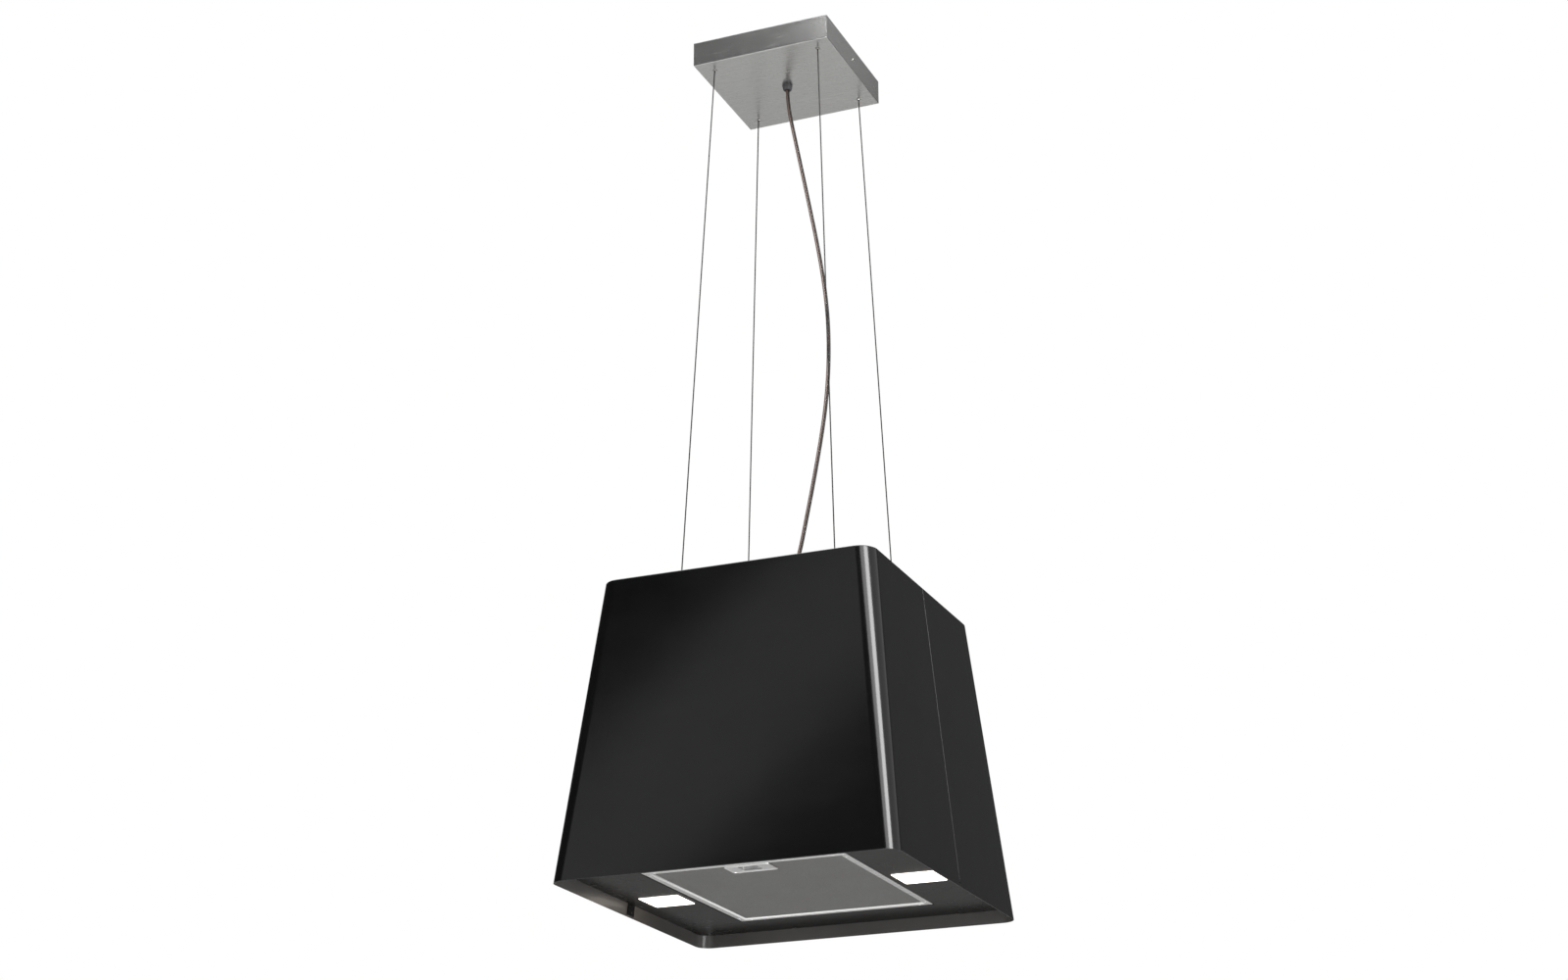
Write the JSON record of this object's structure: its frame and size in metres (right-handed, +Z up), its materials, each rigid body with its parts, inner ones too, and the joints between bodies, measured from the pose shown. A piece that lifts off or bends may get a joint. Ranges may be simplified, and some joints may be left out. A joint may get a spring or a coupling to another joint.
{
  "type": "island range hood",
  "caption": "Tapered square island range hood hung from a ceiling cover on wires, with a power cord, two square lamps and a hinged grease filter under it.",
  "frame": {"origin": "centre of the ceiling bracket's top face, where it meets the ceiling", "axes": "+Z up, into the ceiling; -Y the front, where the filter's latch is; +X the right side"},
  "size_m": [0.5006, 0.5, 1.333],
  "materials": {
    "black_paint": "satin black powder coat",
    "panel_paint": "matt black paint",
    "brushed_steel": "brushed",
    "zinc_plated_steel": "zinc plated",
    "nickel": "nickel plated",
    "wire_rope": "stranded stainless rope",
    "black_screw": "blackened steel",
    "cord_jacket": "clear flexible jacket over coloured cores",
    "gland_plastic": "fine moulded texture",
    "white_plastic": "moulded",
    "filter_aluminium": "satin",
    "filter_mesh": "expanded mesh",
    "charcoal": "granular charcoal",
    "blower_plastic": "moulded",
    "impeller_plastic": "moulded",
    "motor_steel": "laminated steel",
    "capacitor_can": "drawn",
    "circuit_board": "white solder mask",
    "lamp_diffuser": "frosted"
  },
  "bodies": {
    "hood": {"ceiling_bracket": "zinc_plated_steel", "ceiling_cover": "brushed_steel", "cover_screw_left": "nickel", "cover_screw_right": "nickel", "wire_gripper_front_left": "nickel", "wire_gripper_front_right": "nickel", "wire_gripper_rear_left": "nickel", "wire_gripper_rear_right": "nickel", "terminal_block": "white_plastic", "ceiling_gland": "gland_plastic", "body_gland": "gland_plastic", "suspension_wire_front_left": "wire_rope", "suspension_wire_front_right": "wire_rope", "suspension_wire_rear_left": "wire_rope", "suspension_wire_rear_right": "wire_rope", "power_cord": "cord_jacket", "wire_anchor_front_left": "nickel", "wire_anchor_front_right": "nickel", "wire_anchor_rear_left": "nickel", "wire_anchor_rear_right": "nickel", "anchor_nut_front_left": "zinc_plated_steel", "anchor_nut_front_right": "zinc_plated_steel", "anchor_nut_rear_left": "zinc_plated_steel", "anchor_nut_rear_right": "zinc_plated_steel", "front_shell": "black_paint", "rear_shell": "black_paint", "seam_strip_left": "black_paint", "seam_strip_right": "black_paint", "seam_screw_left": "black_screw", "seam_screw_right": "black_screw", "top_plate": "panel_paint", "frame_post_front_left": "zinc_plated_steel", "frame_post_front_right": "zinc_plated_steel", "frame_post_rear_left": "zinc_plated_steel", "frame_post_rear_right": "zinc_plated_steel", "duct_plate": "zinc_plated_steel", "charcoal_filter": "charcoal", "bottom_panel": "panel_paint", "lamp_housing_left": "zinc_plated_steel", "lamp_housing_right": "zinc_plated_steel", "lamp_board_left": "circuit_board", "lamp_board_right": "circuit_board", "lamp_lens_left": "lamp_diffuser", "lamp_lens_right": "lamp_diffuser", "blower_housing_left": "blower_plastic", "blower_housing_right": "blower_plastic", "motor": "motor_steel", "motor_bracket": "zinc_plated_steel", "motor_capacitor": "capacitor_can", "control_box": "gland_plastic", "led_driver": "white_plastic"},
    "rotor": {"impeller": "impeller_plastic", "motor_shaft": "zinc_plated_steel"},
    "filter": {"filter_frame": "filter_aluminium", "filter_mesh": "filter_mesh", "latch_plate": "filter_aluminium", "latch_spring": "nickel"},
    "latch": {"latch_slider": "filter_aluminium"}
  },
  "joints": [
    {"name": "rotor_spin", "type": "hinge", "parent": "hood", "child": "rotor", "pos_m": [0, -0.008, -1.143], "axis": [1, 0, 0], "continuous": true},
    {"name": "filter_tilt", "type": "hinge", "parent": "hood", "child": "filter", "pos_m": [0, 0.1725, -1.3135], "axis": [1, 0, 0], "range_deg": [0, 60]},
    {"name": "latch_slide", "type": "slide", "parent": "filter", "child": "latch", "axis": [0, 1, 0], "range_m": [0, 0.006], "stiffness_N_per_m": 150, "springref_m": -0.002, "deforming": ["latch_spring"]}
  ]
}
